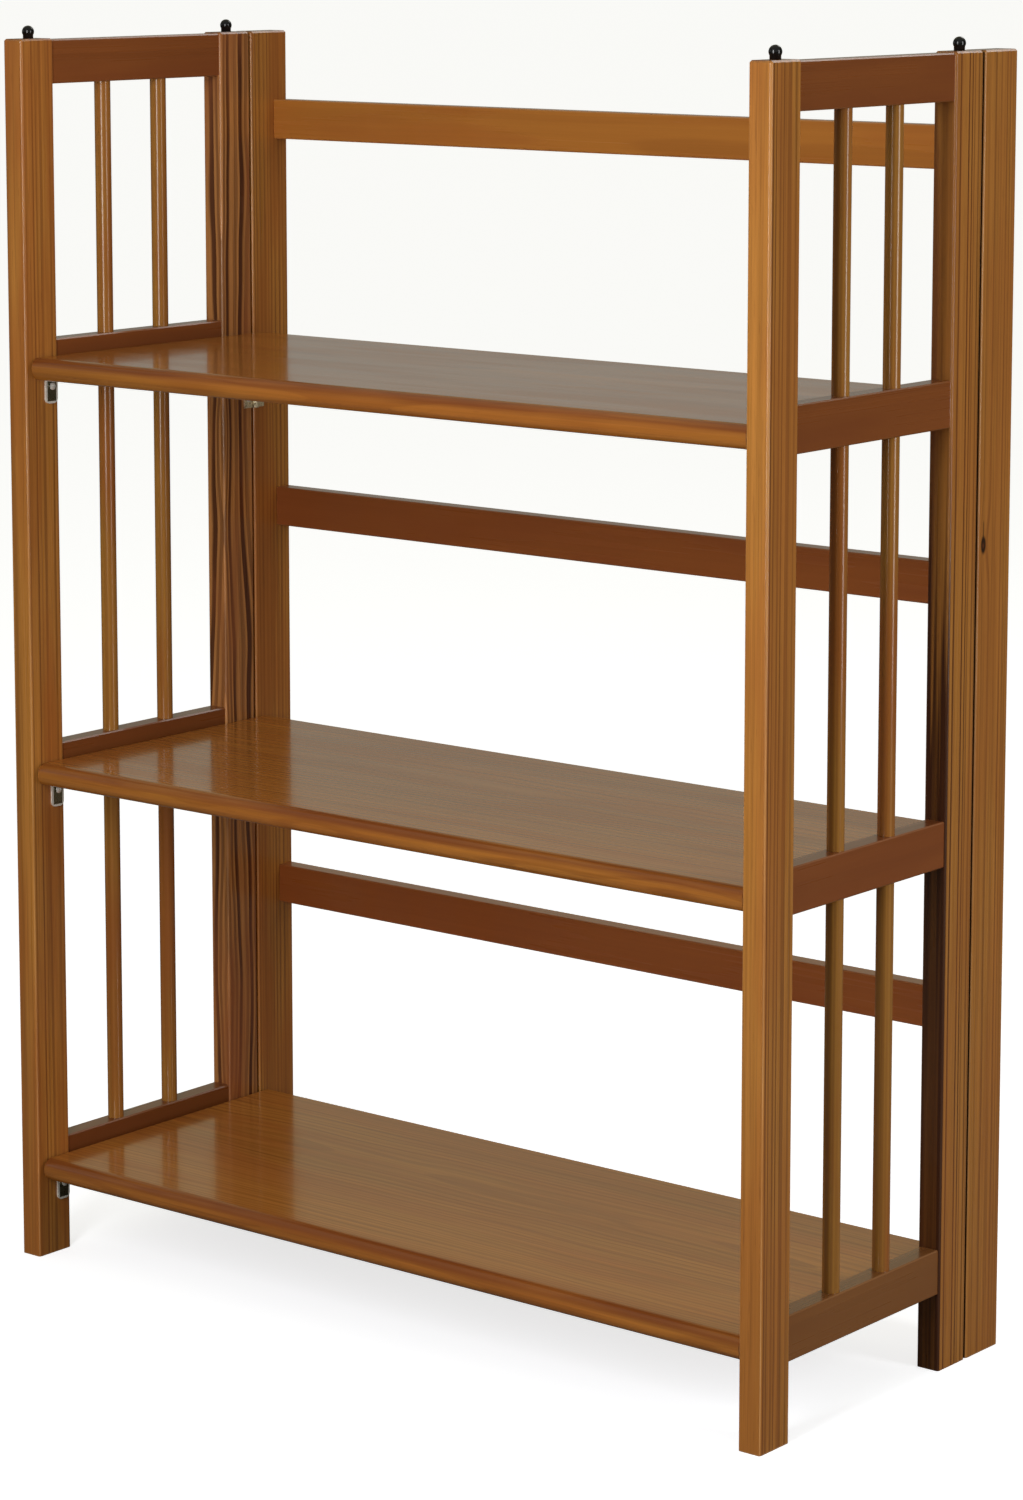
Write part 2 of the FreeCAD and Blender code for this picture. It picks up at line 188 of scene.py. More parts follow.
cameraView = {
    "place": (2.0226, -2.4796, 1.0695),
    "tilt": 81.917,
    "turn": 38.963,
    "lens": 102.85,
    "sensor": 36.0,
    "shift": -0.16,
    "farClip": 200,
}
studio = {
    "roomFront": (0.31, 0.31, 0.30),      # the lit part of the room, in front and to the right
    "roomDark": (0.085, 0.080, 0.070),    # the rest of it
    "roomTop": (0.36, 0.35, 0.28),
    "screenLow": (0.330, 0.355, 0.330),   # a pale screen behind, which the shelves mirror
    "screenHigh": (0.400, 0.365, 0.225),
    "paper": (0.96, 0.96, 0.955),         # what the camera sees behind it
    "towardsFront": (0.60, -0.80, 0.0),
    "towardsScreen": (-0.63, 0.76, 0.15),
    "frontFade": (0.0, 0.8),              # cosines of the angle to those directions
    "screenFade": (0.68, 0.90),
    "topFade": (0.35, 0.80),              # how steeply up
    "screenRise": (0.13, 0.30),
    "floorSize": 120.0,
    "floorPaint": (0.76, 0.78, 0.83),
    "floorBounce": (0.22, 0.21, 0.19),    # how pale the floor is for the light it throws back
    "floorLift": 0.72,
    "lamps": {
        "frontLamp": {"place": (0.35, -1.50, 1.00), "turn": 0, "size": (0.38, 1.20), "watts": 14.8},
        "rightLamp": {"place": (2.20, 0.20, 0.98), "turn": 90, "size": (0.45, 1.60), "watts": 16.2},
        "leftLamp": {"place": (-3.4, -1.8, 1.6), "turn": -62, "size": (1.6, 1.6), "watts": 4},
        "backLamp": {"place": (0.0, 2.3, 2.7), "turn": 180, "tilt": 48, "size": (1.2, 1.0), "watts": 12},
    },
}


def makeCamera(look):
    camera = addObject("camera", bpy.data.cameras.new("camera"))
    camera.location = look["place"]
    camera.rotation_euler = aim(look["tilt"], look["turn"])
    camera.data.lens = look["lens"]
    camera.data.sensor_width = look["sensor"]
    camera.data.shift_y = look["shift"]
    camera.data.clip_end = look["farClip"]
    return camera


def makeRoom(look):
    world = bpy.data.worlds.new("studioRoom")
    world.use_nodes = True
    tree = world.node_tree
    tree.nodes.clear()
    path = addNode(tree, "ShaderNodeLightPath")
    towards = addNode(tree, "ShaderNodeTexCoord").outputs["Generated"]
    rise = splitUp(tree, towards)["Z"]
    toFront = vectorCalc(tree, "DOT_PRODUCT", towards, look["towardsFront"])
    toScreen = vectorCalc(tree, "DOT_PRODUCT", towards, look["towardsScreen"])
    above = smoothStep(tree, rise, *look["topFade"])
    upper = smoothStep(tree, rise, *look["screenRise"])
    colour = mixColour(tree, above, look["roomDark"], look["roomTop"])
    colour = mixColour(tree, smoothStep(tree, toFront, *look["frontFade"]), colour, look["roomFront"])
    screen = mixColour(tree, upper, look["screenLow"], look["screenHigh"])
    colour = mixColour(tree, smoothStep(tree, toScreen, *look["screenFade"]), colour, screen)
    room = addNode(tree, "ShaderNodeBackground", {"Color": colour})
    paper = addNode(tree, "ShaderNodeBackground", {"Color": look["paper"]})
    mix = addNode(tree, "ShaderNodeMixShader", {
        0: path.outputs["Is Camera Ray"],
        1: room.outputs[0],
        2: paper.outputs[0],
    })
    addNode(tree, "ShaderNodeOutputWorld", {"Surface": mix.outputs[0]})
    layOut(tree)
    bpy.context.scene.world = world


def makeFloor(look):
    half = look["floorSize"] / 2
    corners = [(-half, -half, 0), (half, -half, 0), (half, half, 0), (-half, half, 0)]
    mesh = bpy.data.meshes.new("floor")
    mesh.from_pydata(corners, [], [(0, 1, 2, 3)])
    paint, tree = startMaterial("floorPaint")
    # a lit paper floor: lifted to pale for the camera, plain paint for everything else
    seen = addNode(tree, "ShaderNodeLightPath").outputs["Is Camera Ray"]
    colour = mixColour(tree, seen, look["floorBounce"], look["floorPaint"])
    matt = addNode(tree, "ShaderNodeBsdfDiffuse", {"Color": colour})
    lift = addNode(tree, "ShaderNodeEmission", {"Strength": times(tree, seen, look["floorLift"])})
    both = addNode(tree, "ShaderNodeAddShader", {0: matt.outputs[0], 1: lift.outputs[0]})
    addNode(tree, "ShaderNodeOutputMaterial", {"Surface": both.outputs[0]})
    layOut(tree)
    mesh.materials.append(paint)
    addObject("floor", mesh)


def makeLamp(name, look):
    lamp = bpy.data.lights.new(name, "AREA")
    lamp.shape = "RECTANGLE"
    lamp.size, lamp.size_y = look["size"]
    lamp.energy = look["watts"]
    holder = addObject(name, lamp)
    holder.location = look["place"]
    holder.rotation_euler = aim(look.get("tilt", 90), look["turn"])
    holder.visible_camera = False


bpy.context.scene.camera = makeCamera(cameraView)
bpy.context.scene.view_settings.view_transform = "Standard"
makeRoom(studio)
makeFloor(studio)
for lampName, lampLook in studio["lamps"].items():
    makeLamp(lampName, lampLook)
print("studio ready")


# pine: growth rings, fibre, blush, heartwood, eased edges with a painted highlight, painted shade at the
# fold gap, board tones that carry painted light and shade, and knots

pineInputs = [
    ("Place", "Vector", None),           # centred on the piece, Z along the grain, in metres
    ("Half Size", "Vector", (0.01, 0.01, 0.5)),
    ("Heart", "Vector", (0.0, 0.08, 0.0)),
    ("Ring Width", "Float", 0.003),
    ("Ring Depth", "Float", 0.5),
    ("Autumn Start", "Float", 0.28),     # where in each year the dark wood sets in
    ("Wander", "Float", 0.002),
    ("Quiver", "Float", 0.0),            # shorter bends of the grain
    ("Fibre", "Float", 0.1),
    ("Threads", "Float", 0.35),          # fine dark lines between the rings
    ("Tone And Painted Light", "Float", 1.0),              # how pale this one board came out of the stain, set piece by piece; it also carries painted shade and painted light, boards made darker or paler for how much light reaches them
    ("Early Wood", "Color", (0.4, 0.15, 0.03, 1)),
    ("Late Wood", "Color", (0.2, 0.06, 0.012, 1)),
    ("Blush", "Color", (0.36, 0.1, 0.02, 1)),
    ("Blush Amount", "Float", 0.4),
    # how pale the eased edges are: less stain there, and a painted highlight
    ("Edge Paleness And Highlight", "Float", 0.3),
    ("Knot", "Vector", (0.0, 0.0, 9.0)),
    ("Knot Size", "Float", 0.003),
    ("Check", "Float", 0.0),             # length of the crack above the knot
    ("Heartwood", "Color", (0.05, 0.012, 0.004, 1)),
    ("Heartwood Amount", "Float", 0.0),
    ("Heartwood Depth", "Float", 0.002), # how far in from the front face it reaches
    ("Heartwood Top", "Float", 0.0),
    ("Nose Burn", "Float", 0.0),         # how red the upper half of a round front edge came out
    ("Painted Gap Shade", "Float", 0.0),          # painted shade: how black the face that closes on the fold gap is painted, for the shade in the gap
    ("Seed", "Float", 0.0),
    ("Gloss", "Float", 0.2),
    ("Ripple", "Float", 0.01),
    ("Ridge", "Float", 0.012),
]

# noises: how often in a metre across and along the grain, and their detail
pineNoises = {
    "slowBend": (9, 1.7, 2),
    "quickBend": (80, 7, 1),
    "curl": (15, 7, 1),
    "fibre": (1300, 20, 2),
    "streak": (330, 3.2, 2),
    "fleck": (950, 42, 1),
    "patch": (30, 4.2, 3),
    "thread": (620, 7, 2),
    "heartEdge": (210, 2.6, 2),
    "heartStreak": (260, 2.0, 2),
    "nosePatch": (40, 6, 3),
    "edgePatch": (60, 9, 3),
    "lacquerWave": (58, 5, 1),
}

# fades: from, to, and what they give at each end where that isn't 0 and 1
pineFades = {
    "ringEnd": (0.93, 1.0, 1.0, 0.0),
    "yearDepth": (0.0, 1.0, 0.45, 1.0),
    "fleck": (0.66, 0.76),
    "patch": (0.40, 0.62),
    "thread": (0.52, 0.68),
    "heartFace": (0.5, 1.0, 1.0, 0.0),
    "heartTop": (-0.05, 0.06, 1.0, 0.0),
    "heartStreak": (0.42, 0.66, 1.0, 0.72),
    "noseFront": (0.0055, 0.0100, 1.0, 0.0),
    "noseTop": (0.0035, 0.0085, 1.0, 0.0),
    "nosePatch": (0.30, 0.60, 0.45, 1.0),
    "edge": (0.0003, 0.0012, 1.0, 0.0),
    "edgePatch": (0.30, 0.62, 0.35, 1.0),
    "gapShadeFace": (0.0001, 0.0005, 1.0, 0.0),
    "endGrain": (0.0003, 0.0010, 1.0, 0.0),
    "knotHeart": (0.55, 1.05, 1.0, 0.0),
    "knotRim": (0.15, 0.45),
    "crackDepth": (0.0010, 0.0030, 1.0, 0.0),
    "crackFoot": (0.0, 0.001),
    "crackTip": (-0.004, 0.0, 1.0, 0.0),
    "crackWidth": (0.0002, 0.0007, 1.0, 0.0),
}

pineColours = {
    "burn": (0.180, 0.040, 0.010),
    "bareAndHighlightGain": (1.8, 2.0, 2.2),     # how much paler an eased edge is, for less stain and for a painted highlight
    "bareAndHighlightWood": (0.75, 0.55, 0.32),
    # the black of the painted shade in the fold gap
    "gapShadeBlack": (0.012, 0.005, 0.003),
    "knotBlack": (0.010, 0.004, 0.002),
    "crackBlack": (0.030, 0.011, 0.004),
}

pineAmounts = {
    "seedShift": (0.37, 0.91, 1.53), # how far the pattern moves for 1 of seed, in metres
    "quickBend": 0.0009,
    "knotShape": (1.0, 1.0, 0.50),   # a knot is twice as long as it is wide
    "bowFall": -0.12,
    "bowReach": 1.2,                 # in sizes of the knot
    "unevenScale": 60.0,
    "uneven": 2.2,                   # in rings
    "autumnRise": 0.26,
    "streakShade": 1.7,
    "heartRagged": 0.55,             # how ragged the top of the heart is, in metres
    "bareAndHighlightShare": 0.45,
    "endGrain": 0.45,
    "knot": 0.97,
    "crack": 0.8,
    "crackWander": 0.0012,
    "streakRough": 0.10,
    "patchRough": 0.05,
    "edgeRough": 0.05,
    "ringHeight": 0.012,             # heights are in millimetres
    "fibreHeight": 0.006,
}


def makePineGroup(noises, fades, tint, amount):
    tree, take, made = openGroup("pineGrain", "ShaderNodeTree", pineInputs, [
        ("Color", "Color"), ("Roughness", "Float"), ("Height", "Float")])
    place, half, knot, seed = take["Place"], take["Half Size"], take["Knot"], take["Seed"]
    loose = vectorCalc(tree, "ADD", place, vectorCalc(tree, "MULTIPLY", amount["seedShift"], seed))

    def grain(name):
        across, along, detail = noises[name]
        return noise(tree, vectorCalc(tree, "MULTIPLY", loose, (across, across, along)), detail)

    def fade(name, value):
        return smoothStep(tree, value, *fades[name])

    def bend(vector, name, reach):
        push = vectorCalc(tree, "SUBTRACT", grain(name)["Color"], (0.5, 0.5, 0.5))
        return vectorCalc(tree, "ADD", vector, scaled(tree, push, reach))

    def cover(under, mask, share, over):
        return mixColour(tree, times(tree, mask, share), under, over)

    # slow, quick and middling wander of the growth rings along the board
    bent = bend(place, "slowBend", times(tree, take["Wander"], 2.0))
    bent = bend(bent, "quickBend", amount["quickBend"])
    bent = bend(bent, "curl", take["Quiver"])

    # the rings bow out round a knot
    fromKnot = vectorCalc(tree, "SUBTRACT", place, knot)
    toKnot = vectorCalc(tree, "MULTIPLY", fromKnot, amount["knotShape"])
    knotFar = calc(tree, "DIVIDE", vectorCalc(tree, "LENGTH", toKnot), take["Knot Size"])
    bow = calc(tree, "EXPONENT", times(tree, calc(tree, "POWER", knotFar, 2.0), amount["bowFall"]))
    flat = vectorCalc(tree, "MULTIPLY", vectorCalc(tree, "SUBTRACT", bent, take["Heart"]), (1.0, 1.0, 0.0))
    bowReach = times(tree, take["Knot Size"], amount["bowReach"])
    reach = plusShare(tree, vectorCalc(tree, "LENGTH", flat), bow, bowReach)

    # uneven ring widths, a soft spring side and a sharp autumn line
    uneven = addNode(tree, "ShaderNodeTexNoise", noise_dimensions="1D")
    feed(tree, uneven.inputs["W"], plus(tree, times(tree, reach, amount["unevenScale"]), seed))
    feed(tree, uneven.inputs["Scale"], 1.0)
    rings = calc(tree, "DIVIDE", reach, take["Ring Width"])
    turns = plusShare(tree, rings, uneven.outputs["Fac"], amount["uneven"])
    part = calc(tree, "FRACT", turns)
    autumnFull = plus(tree, take["Autumn Start"], amount["autumnRise"])
    autumn = times(tree, smoothStep(tree, part, take["Autumn Start"], autumnFull), fade("ringEnd", part))
    year = addNode(tree, "ShaderNodeTexWhiteNoise", noise_dimensions="1D")
    feed(tree, year.inputs["W"], plus(tree, calc(tree, "FLOOR", turns), seed))
    autumn = times(tree, autumn, fade("yearDepth", year.outputs["Value"]))

    # rings, blush, fibre and threads, then the tone of this one board, which also carries painted shade and
    # painted light
    fibre = grain("fibre")["Fac"]
    streak = grain("streak")["Fac"]
    patch = fade("patch", grain("patch")["Fac"])
    fineShade = times(tree, centred(tree, fibre), take["Fibre"])
    broadShare = times(tree, take["Fibre"], amount["streakShade"])
    shade = plusShare(tree, fineShade, centred(tree, streak), broadShare)
    shading = scaled(tree, (1.0, 1.0, 1.0), plus(tree, shade, 1.0))
    colour = cover(take["Early Wood"], autumn, take["Ring Depth"], take["Late Wood"])
    colour = cover(colour, patch, take["Blush Amount"], take["Blush"])
    colour = mixColour(tree, 1.0, colour, shading, "MULTIPLY")
    for name in ("thread", "fleck"):
        colour = cover(colour, fade(name, grain(name)["Fac"]), take["Threads"], take["Late Wood"])
    colour = scaled(tree, colour, take["Tone And Painted Light"])

    # a dark heart that comes through the front face low down, with paler streaks in it
    spread, halfSplit = splitUp(tree, place), splitUp(tree, half)
    inFrom = plus(tree, spread["Y"], halfSplit["Y"])
    heartFace = fade("heartFace", calc(tree, "DIVIDE", inFrom, take["Heartwood Depth"]))
    ragged = times(tree, centred(tree, grain("heartEdge")["Fac"]), amount["heartRagged"])
    aboveHeart = plus(tree, minus(tree, spread["Z"], take["Heartwood Top"]), ragged)
    heartPlace = times(tree, heartFace, fade("heartTop", aboveHeart))
    heartStreak = fade("heartStreak", grain("heartStreak")["Fac"])
    heartShare = times(tree, heartStreak, take["Heartwood Amount"])
    colour = cover(colour, heartPlace, heartShare, take["Heartwood"])

    # the upper half of a shelf's round nose came out red in patches
    fromTop = plus(tree, spread["X"], halfSplit["X"])
    nose = times(tree, fade("noseFront", inFrom), fade("noseTop", fromTop))
    nose = times(tree, nose, fade("nosePatch", grain("nosePatch")["Fac"]))
    colour = cover(colour, nose, take["Nose Burn"], tint["burn"])

    # eased edges are paler, partly from taking less stain and partly as a painted highlight on the rounded
    # edge: near two faces at once
    inside = splitUp(tree, vectorCalc(tree, "SUBTRACT", half, vectorCalc(tree, "ABSOLUTE", place)))
    closeX, closeY, closeZ = (fade("edge", inside[axis]) for axis in "XYZ")
    ends = times(tree, closeZ, calc(tree, "MAXIMUM", closeX, closeY))
    edge = calc(tree, "MAXIMUM", times(tree, closeX, closeY), ends)
    edge = times(tree, edge, fade("edgePatch", grain("edgePatch")["Fac"]))
    gained = mixColour(tree, 1.0, colour, tint["bareAndHighlightGain"], "MULTIPLY")
    pale = mixColour(tree, amount["bareAndHighlightShare"], gained, tint["bareAndHighlightWood"])
    colour = cover(colour, edge, take["Edge Paleness And Highlight"], pale)
    # painted shade: the face that closes on the fold gap is darkened where the gap's shade falls
    colour = cover(colour, fade("gapShadeFace", inFrom), take["Painted Gap Shade"], tint["gapShadeBlack"])
    # end grain drinks the stain and goes dark
    colour = cover(colour, fade("endGrain", inside["Z"]), amount["endGrain"], take["Late Wood"])

    # the knot: a dark rim round a brown heart
    knotHeart = fade("knotHeart", knotFar)
    knotRim = times(tree, knotHeart, fade("knotRim", knotFar))
    dark = mixColour(tree, knotRim, take["Late Wood"], tint["knotBlack"])
    colour = cover(colour, knotHeart, amount["knot"], dark)
    # a hair crack runs up from it
    tail = splitUp(tree, fromKnot)
    aside = plusShare(tree, tail["Y"], centred(tree, fibre), amount["crackWander"])
    deepIn = fade("crackDepth", calc(tree, "ABSOLUTE", tail["X"]))
    below = fade("crackTip", minus(tree, tail["Z"], take["Check"]))
    crack = times(tree, deepIn, times(tree, fade("crackFoot", tail["Z"]), below))
    crack = times(tree, crack, fade("crackWidth", calc(tree, "ABSOLUTE", aside)))
    colour = cover(colour, crack, amount["crack"], tint["crackBlack"])

    rough = plusShare(tree, take["Gloss"], centred(tree, streak), amount["streakRough"])
    rough = plusShare(tree, rough, centred(tree, patch), amount["patchRough"])
    rough = plusShare(tree, rough, edge, amount["edgeRough"], clamp=True)

    # raised autumn rings, fibre, and the lacquer's long ripple
    height = times(tree, autumn, times(tree, take["Ring Depth"], amount["ringHeight"]))
    height = plusShare(tree, height, fibre, amount["fibreHeight"])
    height = plusShare(tree, height, streak, take["Ridge"])
    height = plusShare(tree, height, centred(tree, grain("lacquerWave")["Fac"]), take["Ripple"])
    feed(tree, made["Color"], colour)
    feed(tree, made["Roughness"], rough)
    feed(tree, made["Height"], height)
    layOut(tree)
    return tree


pineGroup = makePineGroup(pineNoises, pineFades, pineColours, pineAmounts)

lacquer = {"Specular IOR Level": 0.30, "Coat Weight": 0.30, "Coat Roughness": 0.07}

# stain tones in linear light: spring wood, autumn wood, and the redder blush
stainTones = {
    "honey": ((0.512, 0.208, 0.040), (0.110, 0.030, 0.008), (0.400, 0.122, 0.022)),
    "umber": ((0.480, 0.200, 0.058), (0.070, 0.018, 0.006), (0.340, 0.100, 0.028)),
    "tan": ((0.285, 0.108, 0.027), (0.150, 0.048, 0.013), (0.250, 0.088, 0.022)),
    "straw": ((0.420, 0.186, 0.034), (0.180, 0.060, 0.012), (0.340, 0.104, 0.020)),
    "amber": ((0.450, 0.168, 0.028), (0.180, 0.048, 0.010), (0.370, 0.104, 0.018)),
    "russet": ((0.320, 0.094, 0.021), (0.150, 0.038, 0.010), (0.245, 0.060, 0.015)),
}

# how the pattern is turned so that its Z runs along the grain
grainTurn = {
    "up": (0.0, 0.0, 0.0),
    "deep": (math.radians(-90), 0.0, 0.0),
    "wide": (0.0, math.radians(90), 0.0),
}

# the wooden pieces by kind: what all of a kind have, then what sets each one apart. Keys that
# start with a capital are inputs of the pine group; a heart's first two numbers lie across the grain
posts = {
    "shared": {
        "grain": "up", "stain": "honey", "Fibre": 0.30, "Threads": 0.22, "Blush Amount": 0.70, "Gloss": 0.30,
        "Ripple": 0.008, "Knot Size": 0.0040, "Check": 0.019,
        "Heartwood Depth": 0.0024, "Heartwood Top": 0.06,
    },
    "pieces": {
        "leftFrontPost": {
            "node": "left_front_stile", "Heart": (0.02, -0.110, 0), "Ring Width": 0.0058, "Ring Depth": 0.80,
            "Autumn Start": 0.55, "Wander": 0.0022, "Tone And Painted Light": 1.03, "Edge Paleness And Highlight": 0.75, "Seed": 1.0,
        },
        "leftRearPost": {
            "node": "left_rear_stile", "Heart": (-0.045, 0.052, 0), "Ring Width": 0.0046, "Ring Depth": 0.95,
            "Autumn Start": 0.26, "Wander": 0.0080, "Quiver": 0.014, "stain": "umber",
            "Tone And Painted Light": 1.04, "Edge Paleness And Highlight": 0.75, "Seed": 2.3,
        },
        "leftBackPost": {
            "node": "left_back_stile", "Heart": (0.03, 0.120, 0), "Ring Width": 0.0042, "Ring Depth": 0.55,
            "Autumn Start": 0.50, "Wander": 0.0022, "Tone And Painted Light": 0.90, "Edge Paleness And Highlight": 0.75, "Seed": 3.1,
        },
        "rightFrontPost": {
            "node": "right_front_stile", "Heart": (-0.01, 0.130, 0), "Ring Width": 0.0058,
            "Ring Depth": 0.85, "Autumn Start": 0.52, "Wander": 0.0012, "Blush Amount": 0.45,
            "Tone And Painted Light": 1.01, "Edge Paleness And Highlight": 1.0, "Seed": 4.7,
        },
        "rightRearPost": {
            "node": "right_rear_stile", "Heart": (0.02, 0.140, 0), "Ring Width": 0.0052, "Ring Depth": 0.95,
            "Autumn Start": 0.46, "Wander": 0.0014, "Blush Amount": 0.35, "Heartwood Amount": 0.97,
            "Tone And Painted Light": 0.95, "Edge Paleness And Highlight": 0.15, "Seed": 5.2,
        },
        "rightBackPost": {
            "node": "right_back_stile", "Heart": (-0.03, -0.150, 0), "Ring Width": 0.0056,
            "Ring Depth": 0.60, "Autumn Start": 0.55, "Wander": 0.0010, "Blush Amount": 0.40,
            # its face at the fold gap carries painted shade
            "Knot": (0.0095, -0.0145, 0.1265), "Painted Gap Shade": 1.0, "Tone And Painted Light": 0.95, "Edge Paleness And Highlight": 0.85, "Seed": 6.9,
        },
    },
}
sideRails = {
    "shared": {
        "grain": "deep", "stain": "russet", "Heart": (0.06, 0.015, 0), "Ring Width": 0.0056,
        "Ring Depth": 0.16, "Wander": 0.006, "Threads": 0.0, "Fibre": 0.06,
        "Gloss": 0.30, "Ripple": 0.010, "Edge Paleness And Highlight": 0.25,
    },
    "pieces": {
        # the left rails are set darker towards the bottom: painted shade of the lower bays
        "leftTopRail": {"node": "left_top_rail", "Tone And Painted Light": 0.84, "Seed": 11.2},
        "leftUpperRail": {"node": "left_upper_middle_rail", "Tone And Painted Light": 0.80, "Seed": 12.5},
        "leftLowerRail": {"node": "left_lower_middle_rail", "Tone And Painted Light": 0.70, "Seed": 13.1},
        "leftBottomRail": {"node": "left_bottom_rail", "Tone And Painted Light": 0.66, "Seed": 14.8},
        "rightTopRail": {"node": "right_top_rail", "Tone And Painted Light": 0.82, "Seed": 15.4},
        "rightUpperRail": {"node": "right_upper_middle_rail", "Tone And Painted Light": 0.82, "Seed": 16.6},
        "rightLowerRail": {"node": "right_lower_middle_rail", "Tone And Painted Light": 0.89, "Seed": 17.3},
        "rightBottomRail": {"node": "right_bottom_rail", "stain": "tan", "Tone And Painted Light": 0.94, "Seed": 18.9},
    },
}
backRails = {
    "shared": {
        "grain": "wide", "stain": "russet", "Heart": (0.010, -0.07, 0), "Ring Width": 0.0052,
        "Ring Depth": 0.22, "Wander": 0.007, "Threads": 0.0, "Fibre": 0.10,
        "Gloss": 0.28, "Ripple": 0.010, "Edge Paleness And Highlight": 0.25,
    },
    "pieces": {
        "backTopRail": {"node": "back_top_rail", "stain": "amber", "Tone And Painted Light": 1.06, "Seed": 21.4},
        "backMiddleRail": {"node": "back_middle_rail", "Tone And Painted Light": 0.92, "Seed": 22.2},
        # the bottom back rail is set paler: painted light, lifting it out of the shade under the shelf above
        # it
        "backBottomRail": {"node": "back_bottom_rail", "Tone And Painted Light": 1.24, "Seed": 23.7},
    },
}
spindles = {
    "shared": {
        "grain": "up", "stain": "straw", "Heart": (0.03, 0.05, 0), "Ring Width": 0.0034, "Ring Depth": 0.34,
        "Wander": 0.001, "Blush Amount": 0.85, "Threads": 0.05, "Fibre": 0.20,
        "Gloss": 0.22, "Ripple": 0.010, "Edge Paleness And Highlight": 0.0,
    },
    "pieces": {
        "leftFrontSpindle": {"node": "left_front_spindle", "Seed": 31.1},
        "leftRearSpindle": {"node": "left_rear_spindle", "Seed": 32.6},
        "rightFrontSpindle": {"node": "right_front_spindle", "Seed": 33.2},
        "rightRearSpindle": {"node": "right_rear_spindle", "Seed": 34.9},
    },
}
shelves = {
    "shared": {
        "grain": "wide", "stain": "amber", "Heart": (-0.05, 0.03, 0), "Ring Width": 0.0048,
        "Ring Depth": 0.50, "Autumn Start": 0.46, "Wander": 0.009, "Quiver": 0.010, "Threads": 0.14,
        "Nose Burn": 0.75, "Fibre": 0.30, "Gloss": 0.20, "Ripple": 0.080, "Ridge": 0.075, "Edge Paleness And Highlight": 0.30,
    },
    "pieces": {
        "topShelf": {"node": "top_shelf", "Seed": 41.3},
        "middleShelf": {"node": "middle_shelf", "Seed": 42.8},
        "bottomShelf": {"node": "bottom_shelf", "Seed": 43.6},
    },
}
woodKinds = (posts, sideRails, backRails, spindles, shelves)


def makePine(name, node, grain, stain, **values):
    low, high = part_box(node)
    aboutX, aboutY = grainTurn[grain][:2]
    turn = Matrix.Rotation(aboutX, 3, "X") @ Matrix.Rotation(aboutY, 3, "Y")
    half = turn.inverted() @ ((high - low) / 2)
    material, tree = startMaterial(name)
    turned = addNode(tree, "ShaderNodeMapping", {
        "Vector": addNode(tree, "ShaderNodeTexCoord").outputs["Object"],
        "Location": (low + high) / 2,
        "Rotation": grainTurn[grain],
    }, vector_type="TEXTURE")
    pine = addNode(tree, "ShaderNodeGroup", {
        "Place": turned.outputs["Vector"],
        "Half Size": [abs(reach) for reach in half],
        **dict(zip(("Early Wood", "Late Wood", "Blush"), stainTones[stain])),
        **values,
    }, node_tree=pineGroup)
    closeMaterial(tree, pine.outputs, lacquer)
    dress(node, material)


for kind in woodKinds:
    for name, piece in kind["pieces"].items():
        makePine(name, **{**kind["shared"], **piece})
print("wood finished:", sum(len(kind["pieces"]) for kind in woodKinds), "pieces")


# metal and plastic

wearAndHighlightInputs = [
    ("Place", "Vector", None),           # in metres
    ("Bright", "Color", (0.6, 0.6, 0.6, 1)),
    ("Tarnish", "Color", (0.3, 0.25, 0.2, 1)),
    ("Tarnish Amount", "Float", 0.5),
    ("Cloud Scale", "Float", 160.0),
    ("Gloss", "Float", 0.25),
    ("Brush", "Float", 0.1),
    ("Rim Middle", "Float", 0.0),        # middle of the plate from front to back
    ("Rim Half", "Float", 9.0),          # half its depth
    ("Rim Foot", "Float", -9.0),         # foot of the lowest plate
    ("Rim Step", "Float", 99.0),         # from one plate up to the next
    # the colour of the painted highlight along the rims
    ("Rim", "Color", (0.6, 0.6, 0.6, 1)),
    ("Metal", "Float", 1.0),
]
wearAndHighlightPattern = {
    "clouds": (4, 0.6),                  # detail and roughness of the noise
    "dull": (0.42, 0.70),                # fades have the form that the pine's have
    "brushing": (2600.0, 2600.0, 130.0), # how often in a metre along X, Y and Z
    "gritScale": 1800.0,
    "pits": (0.62, 0.72),
    "sideRimHighlight": (-0.0020, -0.0015),
    "footRimHighlight": (0.0015, 0.0020, 1.0, 0.0),
    "rimHighlightMetal": 0.75,                    # how much less of a metal the painted highlight on the rims looks
    "dullRough": 0.16,
    "brushHeight": 0.03,                 # heights are in millimetres
    "pitHeight": -0.004,
}


